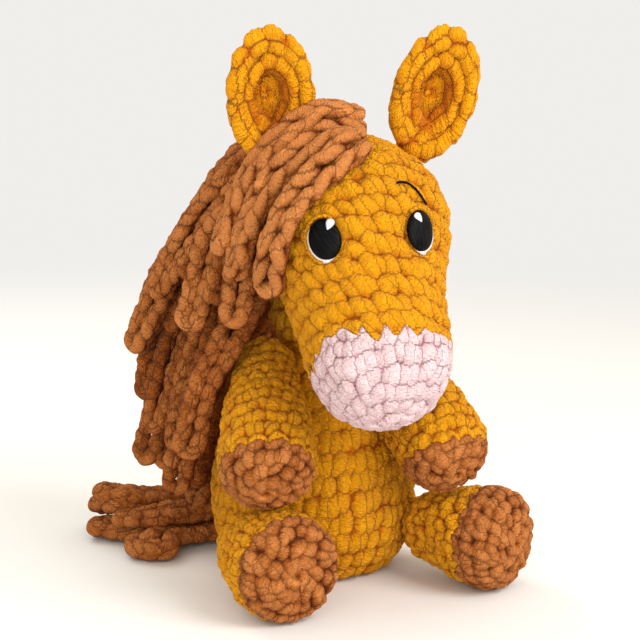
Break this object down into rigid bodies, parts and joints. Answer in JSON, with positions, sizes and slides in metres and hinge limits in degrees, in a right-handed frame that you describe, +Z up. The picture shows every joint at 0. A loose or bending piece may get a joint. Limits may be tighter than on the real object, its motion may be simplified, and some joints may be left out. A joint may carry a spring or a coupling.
{
  "type": "crocheted plush horse",
  "caption": "Sitting crocheted plush horse of mustard chenille yarn, with a pale pink muzzle, brown hooves, and a combed mane and tail of looped cords.",
  "frame": {"origin": "on the floor under the middle of the torso, at its flat seat", "axes": "+Z up; the torso faces -Y, so its left side is at +X; the head is turned a little towards -X"},
  "size_m": [0.2001, 0.2755, 0.3222],
  "materials": {
    "mustard_yarn": "fuzzy",
    "brown_yarn": "fuzzy",
    "pale_pink_yarn": "fuzzy",
    "black_thread": "satin",
    "white_thread": "satin",
    "fibre_filling": "matte"
  },
  "bodies": {
    "torso": {"torso_cover": "mustard_yarn", "torso_filling": "fibre_filling"},
    "neck": {"neck_cover": "mustard_yarn", "neck_filling": "fibre_filling"},
    "head": {"head_cover": "mustard_yarn", "muzzle_cover": "pale_pink_yarn", "head_filling": "fibre_filling", "eye_white_left": "white_thread", "pupil_left": "black_thread", "eye_glint_left": "white_thread", "eye_white_right": "white_thread", "pupil_right": "black_thread", "eye_glint_right": "white_thread", "brow_left": "black_thread", "brow_right": "black_thread", "forelock_1": "brown_yarn", "forelock_2": "brown_yarn", "forelock_3": "brown_yarn", "mane_lock_1": "brown_yarn", "mane_lock_2": "brown_yarn", "mane_lock_3": "brown_yarn", "mane_lock_4": "brown_yarn", "mane_lock_5": "brown_yarn", "mane_lock_6": "brown_yarn", "mane_lock_7": "brown_yarn", "mane_lock_8": "brown_yarn", "mane_lock_9": "brown_yarn", "mane_lock_10": "brown_yarn"},
    "ear_left": {"ear_left": "mustard_yarn"},
    "ear_right": {"ear_right": "mustard_yarn"},
    "tail": {"tail_lock_1": "brown_yarn", "tail_lock_2": "brown_yarn", "tail_lock_3": "brown_yarn"},
    "arm_right": {"arm_right_sleeve": "mustard_yarn", "arm_right_hoof": "brown_yarn", "arm_right_filling": "fibre_filling"},
    "arm_left": {"arm_left_sleeve": "mustard_yarn", "arm_left_hoof": "brown_yarn", "arm_left_filling": "fibre_filling"},
    "leg_right": {"leg_right_sleeve": "mustard_yarn", "leg_right_hoof": "brown_yarn", "leg_right_filling": "fibre_filling"},
    "leg_left": {"leg_left_sleeve": "mustard_yarn", "leg_left_hoof": "brown_yarn", "leg_left_filling": "fibre_filling"}
  },
  "joints": [
    {"name": "head_turn", "type": "hinge", "parent": "torso", "child": "neck", "pos_m": [0, -0.008, 0.158], "axis": [0, 0, 1], "range_deg": [-5, 5], "stiffness_Nm_per_rad": 1.5},
    {"name": "head_nod", "type": "hinge", "parent": "neck", "child": "head", "pos_m": [0, -0.008, 0.158], "axis": [0.9763, -0.2164, 0], "range_deg": [-5, 3], "stiffness_Nm_per_rad": 3},
    {"name": "arm_right_lift", "type": "hinge", "parent": "torso", "child": "arm_right", "pos_m": [-0.04, -0.016, 0.128], "axis": [-0.9437, 0.3309, 0], "range_deg": [0, 6], "stiffness_Nm_per_rad": 0.6},
    {"name": "arm_left_lift", "type": "hinge", "parent": "torso", "child": "arm_left", "pos_m": [0.043, -0.018, 0.126], "axis": [-0.9997, 0.0238, 0], "range_deg": [0, 15], "stiffness_Nm_per_rad": 0.6},
    {"name": "leg_right_swing", "type": "hinge", "parent": "torso", "child": "leg_right", "pos_m": [-0.063, -0.051, 0.0303], "axis": [0, 0, 1], "range_deg": [-20, 10], "stiffness_Nm_per_rad": 0.3},
    {"name": "leg_left_swing", "type": "hinge", "parent": "torso", "child": "leg_left", "pos_m": [0.053, -0.062, 0.0303], "axis": [0, 0, 1], "range_deg": [-10, 18], "stiffness_Nm_per_rad": 0.3},
    {"name": "ear_right_flop", "type": "hinge", "parent": "head", "child": "ear_right", "pos_m": [-0.04564, -0.04256, 0.24712], "axis": [0.9658, -0.2141, 0.1462], "range_deg": [-15, 0], "stiffness_Nm_per_rad": 0.05},
    {"name": "ear_left_flop", "type": "hinge", "parent": "head", "child": "ear_left", "pos_m": [0.03509, -0.06045, 0.24712], "axis": [0.9658, -0.2141, -0.1462], "range_deg": [-15, 15], "stiffness_Nm_per_rad": 0.05},
    {"name": "tail_swing", "type": "hinge", "parent": "torso", "child": "tail", "pos_m": [-0.01, 0.062, 0.02], "axis": [0, 0, 1], "range_deg": [-15, 4], "stiffness_Nm_per_rad": 0.05}
  ]
}
